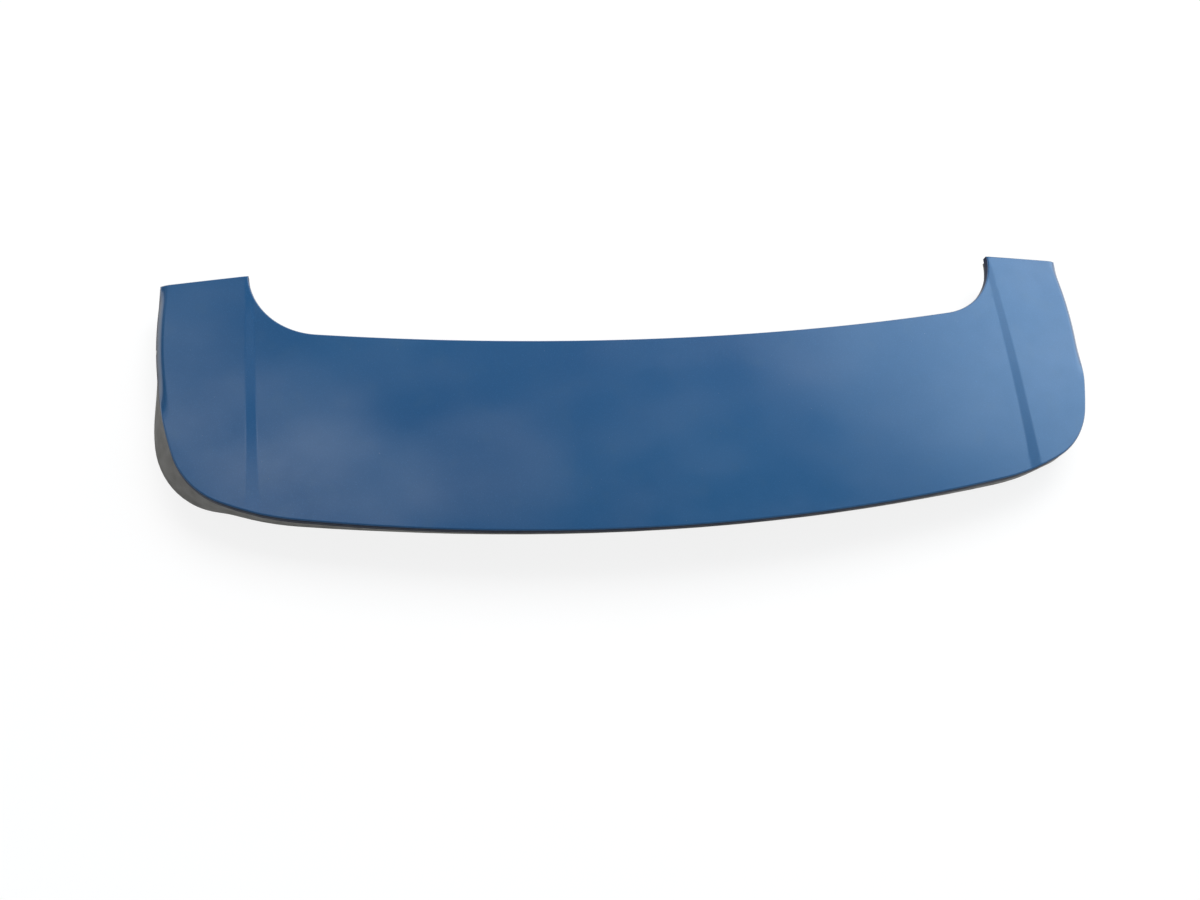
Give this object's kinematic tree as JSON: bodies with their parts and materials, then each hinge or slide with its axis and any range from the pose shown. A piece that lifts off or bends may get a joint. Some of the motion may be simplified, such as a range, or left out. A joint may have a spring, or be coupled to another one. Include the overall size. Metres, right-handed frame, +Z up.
{
  "type": "tailgate spoiler",
  "caption": "Wide, gently crowned tailgate spoiler: a painted upper shell with a crease and a forward horn at each end over a grey lower shell, with studs below to bolt it to a tailgate.",
  "frame": {"origin": "middle of the inner stud pair, half way down the free length of the studs, 11 mm below the faces that seat on the tailgate", "axes": "+X to the right along the spoiler, +Y towards the front of the car (the way the horns point), +Z up"},
  "size_m": [1.1668, 0.3465, 0.0907],
  "materials": {
    "blue_paint": "metallic blue paint under clear coat",
    "grey_plastic": "fine moulded grain",
    "plated_steel": "zinc plated",
    "black_foam": "closed-cell foam",
    "white_plastic": "plain moulded"
  },
  "bodies": {
    "root": {"upper_shell": "blue_paint", "lower_shell": "grey_plastic", "mounting_studs": "plated_steel", "stud_seals": "black_foam", "joining_screws": "plated_steel", "horn_clips": "white_plastic", "front_seal": "black_foam", "horn_pads": "black_foam"}
  },
  "joints": []
}
